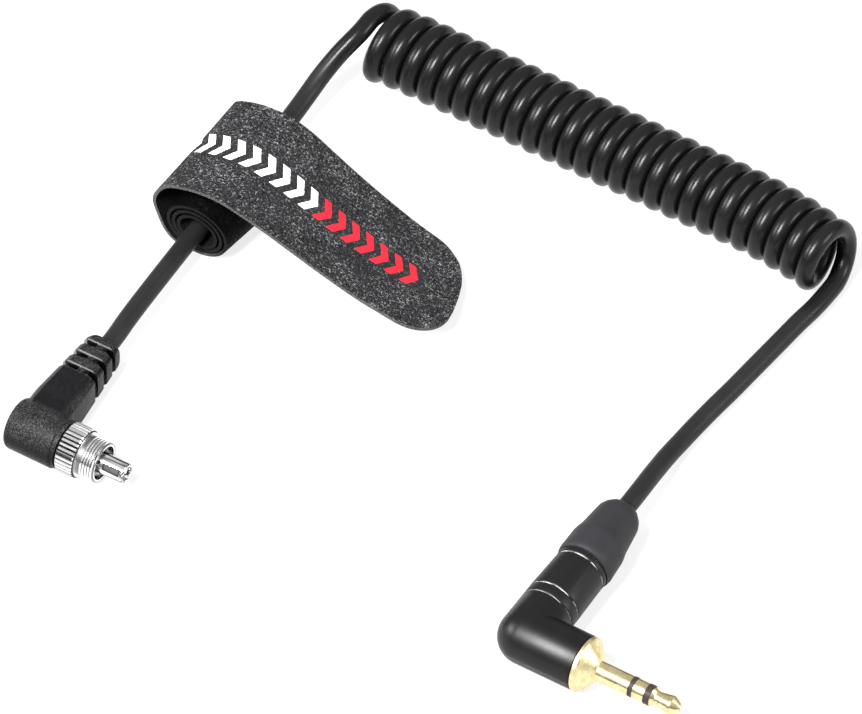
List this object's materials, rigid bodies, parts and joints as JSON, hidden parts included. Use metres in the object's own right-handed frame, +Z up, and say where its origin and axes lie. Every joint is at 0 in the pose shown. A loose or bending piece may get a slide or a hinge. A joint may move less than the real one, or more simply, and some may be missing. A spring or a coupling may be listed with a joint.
{
  "type": "coiled flash sync cord",
  "caption": "Curly flash sync cord with a right-angle screw-lock sync plug, a right-angle mini jack and a rolled hook-and-loop cable tie.",
  "frame": {"origin": "bottom centre of the box round the two plugs and the cable tie, on the surface the cord lies on", "axes": "+X the way both plugs point and along the curls, +Y from the plugs towards the curls, +Z up"},
  "size_m": [0.1276, 0.1099, 0.0155],
  "materials": {
    "overmould": "fine grain, satin",
    "premould": "natural polymer",
    "nickel": "bright nickel plate",
    "insulator": "grey polymer",
    "contact_gold": "polished gold plate",
    "signal_wire": "red insulation",
    "ground_wire": "white insulation",
    "cord_jacket": "satin black jacket",
    "black_shell": "satin black lacquer on metal",
    "chuck": "moulded",
    "boot": "matte shrink-formed boot",
    "band": "black insulating band",
    "tin": "tinned solder tag",
    "strap": "charcoal hook-and-loop strap"
  },
  "bodies": {
    "cable": {"sync_overmould": "overmould", "sync_inner_mould": "premould", "sync_contact_tube": "nickel", "sync_insulator": "insulator", "sync_centre_pin": "contact_gold", "sync_signal_wire": "signal_wire", "sync_ground_wire": "ground_wire", "sync_cord_tail": "cord_jacket", "cord_sync_end": "cord_jacket", "curly_cord": "cord_jacket"},
    "screw_ring": {"lock_ring": "nickel"},
    "jack_end": {"jack_elbow": "black_shell", "jack_elbow_cover": "black_shell", "jack_barrel": "black_shell", "jack_chuck": "chuck", "jack_boot": "boot", "jack_sleeve_contact": "contact_gold", "jack_rear_insulator": "band", "jack_ring_contact": "contact_gold", "jack_front_insulator": "band", "jack_tip_contact": "contact_gold", "jack_ring_tag": "tin", "jack_tip_tag": "tin", "jack_ground_tag": "tin", "jack_signal_wire": "signal_wire", "jack_ground_wire": "ground_wire", "jack_cord_tail": "cord_jacket", "cord_jack_end": "cord_jacket"},
    "tie": {"tie_roll": "strap", "tie_loop": "strap"},
    "flap": {"tie_flap": "strap"}
  },
  "joints": [
    {"name": "lock_ring_spin", "type": "hinge", "parent": "cable", "child": "screw_ring", "pos_m": [-0.04757, -0.03358, 0.00445], "axis": [1, 0, 0], "continuous": true},
    {"name": "curl_stretch", "type": "slide", "parent": "cable", "child": "jack_end", "axis": [1, 0, 0], "range_m": [0, 0.3], "stiffness_N_per_m": 15, "deforming": ["curly_cord"]},
    {"name": "tie_slide", "type": "slide", "parent": "cable", "child": "tie", "axis": [0, 1, 0], "range_m": [-0.015, 0.005]},
    {"name": "tie_flap_lift", "type": "hinge", "parent": "tie", "child": "flap", "pos_m": [-0.04862, 0.02703, 0.0149], "axis": [0, -1, 0], "range_deg": [0, 75], "stiffness_Nm_per_rad": 0.01}
  ]
}
